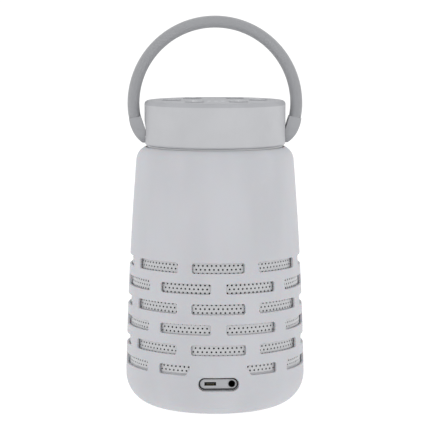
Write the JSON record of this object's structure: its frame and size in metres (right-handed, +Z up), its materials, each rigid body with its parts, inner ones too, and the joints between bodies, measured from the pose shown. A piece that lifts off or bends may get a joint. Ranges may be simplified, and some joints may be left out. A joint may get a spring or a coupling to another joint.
{
  "type": "portable speaker with sleeve",
  "caption": "Round portable speaker in a slotted soft silicone sleeve, with a looped carrying handle, top keys and sockets in a window at the front.",
  "frame": {"origin": "on the speaker's axis at the height of the sleeve's flat underside", "axes": "+Z up along the axis, -Y towards the socket window, +X towards one end of the handle"},
  "size_m": [0.1082, 0.1081, 0.2346],
  "materials": {
    "silicone": "matt translucent light grey silicone",
    "anodised_shell": "bead-blasted anodised",
    "soft_plastic": "soft-touch light grey",
    "foot_rubber": "matt dark rubber",
    "brass": "machined",
    "gold_contact": "gold plated",
    "dark_plastic": "fine matt",
    "bright_steel": "plated steel",
    "black_plastic": "moulded, filled plastic",
    "painted_steel": "black powder coat",
    "cone_paper": "pressed pulp",
    "copper_coil": "enamelled copper wire",
    "surround_rubber": "soft rubber",
    "spider_cloth": "resin-dipped cloth",
    "zinc_steel": "zinc plated",
    "magnet": "sintered ferrite",
    "cell_wrap": "steel can in a thin plastic sleeve",
    "circuit_board": "solder mask",
    "chip_black": "moulded components",
    "soft_pad": "soft matt silicone",
    "lens": "clear diffuser",
    "radiator_metal": "black anodised",
    "strap": "woven sleeve over a flexible core",
    "strap_end": "soft-touch grey"
  },
  "bodies": {
    "sleeve": {"silicone_sleeve": "silicone"},
    "speaker": {"body_shell": "anodised_shell", "base_shell": "soft_plastic", "foot_ring": "foot_rubber", "tripod_insert": "brass", "charging_contacts": "gold_contact", "port_panel": "soft_plastic", "usb_socket": "bright_steel", "aux_jack": "dark_plastic", "deflector": "black_plastic", "base_screws": "bright_steel", "post_screws": "bright_steel", "baffle": "black_plastic", "driver_frame": "painted_steel", "driver_screws": "bright_steel", "driver_surround": "surround_rubber", "spider": "spider_cloth", "front_plate": "zinc_steel", "driver_magnet": "magnet", "back_plate": "zinc_steel", "chamber": "black_plastic", "lid_gasket": "foot_rubber", "chamber_lid": "black_plastic", "lid_screws": "bright_steel", "battery_cells": "cell_wrap", "battery_holder": "black_plastic", "battery_tabs": "bright_steel", "main_board": "circuit_board", "board_parts": "chip_black", "board_screws": "bright_steel", "control_housing": "soft_plastic", "cap_screws": "bright_steel", "control_board": "circuit_board", "control_screws": "bright_steel", "switches": "chip_black", "control_pad": "soft_pad", "status_lenses": "lens", "radiator_frame_left": "black_plastic", "radiator_surround_left": "surround_rubber", "pivot_pin_left": "bright_steel", "radiator_frame_right": "black_plastic", "radiator_surround_right": "surround_rubber", "pivot_pin_right": "bright_steel"},
    "cone": {"driver_cone": "cone_paper", "dust_cap": "cone_paper", "voice_coil": "copper_coil"},
    "radiator_disc_left": {"radiator_left": "radiator_metal"},
    "radiator_disc_right": {"radiator_right": "radiator_metal"},
    "handle": {"handle_strap": "strap", "handle_end_left": "strap_end", "handle_end_right": "strap_end"},
    "power_key": {"power_button": "soft_pad"},
    "volume_down_key": {"volume_down_button": "soft_pad"},
    "play_key": {"play_button": "soft_pad"},
    "volume_up_key": {"volume_up_button": "soft_pad"},
    "source_key": {"source_button": "soft_pad"},
    "pairing_key": {"pairing_button": "soft_pad"}
  },
  "joints": [
    {"name": "sleeve_pull_off", "type": "slide", "parent": "sleeve", "child": "speaker", "axis": [0, 0, 1], "range_m": [0, 0.17], "deforming": ["silicone_sleeve"]},
    {"name": "handle_swing", "type": "hinge", "parent": "speaker", "child": "handle", "pos_m": [0, 0, 0.1645], "axis": [1, 0, 0], "range_deg": [-110, 110]},
    {"name": "driver_stroke", "type": "slide", "parent": "speaker", "child": "cone", "axis": [0, 0, 1], "range_m": [-0.003, 0.003], "stiffness_N_per_m": 900, "deforming": ["driver_surround", "spider"]},
    {"name": "radiator_stroke_left", "type": "slide", "parent": "speaker", "child": "radiator_disc_left", "axis": [-1, 0, 0], "range_m": [-0.002, 0.002], "stiffness_N_per_m": 700, "deforming": ["radiator_surround_left"]},
    {"name": "radiator_stroke_right", "type": "slide", "parent": "speaker", "child": "radiator_disc_right", "axis": [1, 0, 0], "range_m": [-0.002, 0.002], "stiffness_N_per_m": 700, "deforming": ["radiator_surround_right"]},
    {"name": "power_press", "type": "slide", "parent": "speaker", "child": "power_key", "axis": [0, 0, -1], "range_m": [0, 0.0008], "stiffness_N_per_m": 600, "springref_m": -0.0006},
    {"name": "volume_down_press", "type": "slide", "parent": "speaker", "child": "volume_down_key", "axis": [0, 0, -1], "range_m": [0, 0.0008], "stiffness_N_per_m": 600, "springref_m": -0.0006},
    {"name": "play_press", "type": "slide", "parent": "speaker", "child": "play_key", "axis": [0, 0, -1], "range_m": [0, 0.0008], "stiffness_N_per_m": 600, "springref_m": -0.0006},
    {"name": "volume_up_press", "type": "slide", "parent": "speaker", "child": "volume_up_key", "axis": [0, 0, -1], "range_m": [0, 0.0008], "stiffness_N_per_m": 600, "springref_m": -0.0006},
    {"name": "source_press", "type": "slide", "parent": "speaker", "child": "source_key", "axis": [0, 0, -1], "range_m": [0, 0.0008], "stiffness_N_per_m": 600, "springref_m": -0.0006},
    {"name": "pairing_press", "type": "slide", "parent": "speaker", "child": "pairing_key", "axis": [0, 0, -1], "range_m": [0, 0.0008], "stiffness_N_per_m": 600, "springref_m": -0.0006}
  ]
}
